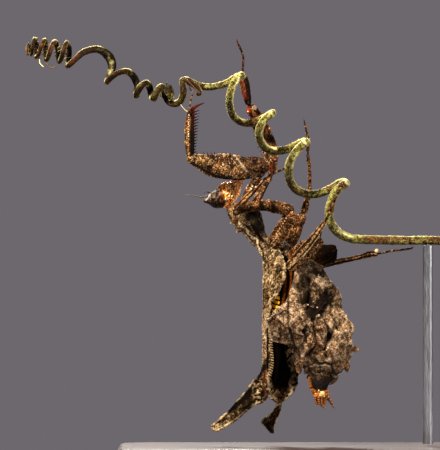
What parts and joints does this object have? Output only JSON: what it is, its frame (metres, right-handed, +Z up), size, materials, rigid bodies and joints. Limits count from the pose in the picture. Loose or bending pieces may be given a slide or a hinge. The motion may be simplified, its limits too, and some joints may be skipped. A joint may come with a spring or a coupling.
{
  "type": "dead-leaf mantis model on a tendril perch",
  "caption": "Life-size still model of an adult female dead-leaf mantis hanging from a coiled plant tendril, held by a flat base and a rod.",
  "frame": {"origin": "on the underside of the stand's base, below the insect", "axes": "+Z up, +X from the hanging insect's back towards its belly and along the tendril's stem, +Y towards the insect's left side, so the picture looks along +Y"},
  "size_m": [0.0682, 0.036, 0.0662],
  "materials": {
    "head": "granular brown and orange cuticle",
    "eyes": "mottled brown, satin",
    "mouthparts": "glossy orange cuticle",
    "antennae": "dark brown, matt",
    "thorax": "rough brown cuticle",
    "abdomen": "crumpled grey-brown, matt",
    "abdomen_tip": "orange, satin",
    "forewings": "veined dead-leaf brown, matt",
    "hindwings": "smooth orange-brown, satin",
    "forelegs": "granular brown with red spines",
    "walking_legs": "banded brown cuticle",
    "tendril": "fine-haired green to red-brown stem",
    "stand_base": "dark stained, satin",
    "stand_rod": "brushed"
  },
  "bodies": {
    "root": {"head": "head", "eye_right": "eyes", "eye_left": "eyes", "mouthparts": "mouthparts", "antenna_right": "antennae", "antenna_left": "antennae", "prothorax": "thorax", "thorax": "thorax", "abdomen": "abdomen", "abdomen_tip": "abdomen_tip", "forewing_right": "forewings", "forewing_left": "forewings", "hindwing_right": "hindwings", "hindwing_left": "hindwings", "coxa_fore_right": "forelegs", "femur_fore_right": "forelegs", "tibia_fore_right": "forelegs", "tarsus_fore_right": "forelegs", "coxa_fore_left": "forelegs", "femur_fore_left": "forelegs", "tibia_fore_left": "forelegs", "tarsus_fore_left": "forelegs", "coxa_mid_right": "walking_legs", "femur_mid_right": "walking_legs", "tibia_mid_right": "walking_legs", "tarsus_mid_right": "walking_legs", "coxa_mid_left": "walking_legs", "femur_mid_left": "walking_legs", "tibia_mid_left": "walking_legs", "tarsus_mid_left": "walking_legs", "coxa_hind_right": "walking_legs", "femur_hind_right": "walking_legs", "tibia_hind_right": "walking_legs", "tarsus_hind_right": "walking_legs", "coxa_hind_left": "walking_legs", "femur_hind_left": "walking_legs", "tibia_hind_left": "walking_legs", "tarsus_hind_left": "walking_legs", "perch_stem": "tendril", "perch_loop_1": "tendril", "perch_loop_2": "tendril", "perch_loop_3": "tendril", "perch_loop_4": "tendril", "perch_coil": "tendril", "stand_base": "stand_base", "stand_rod": "stand_rod"}
  },
  "joints": []
}
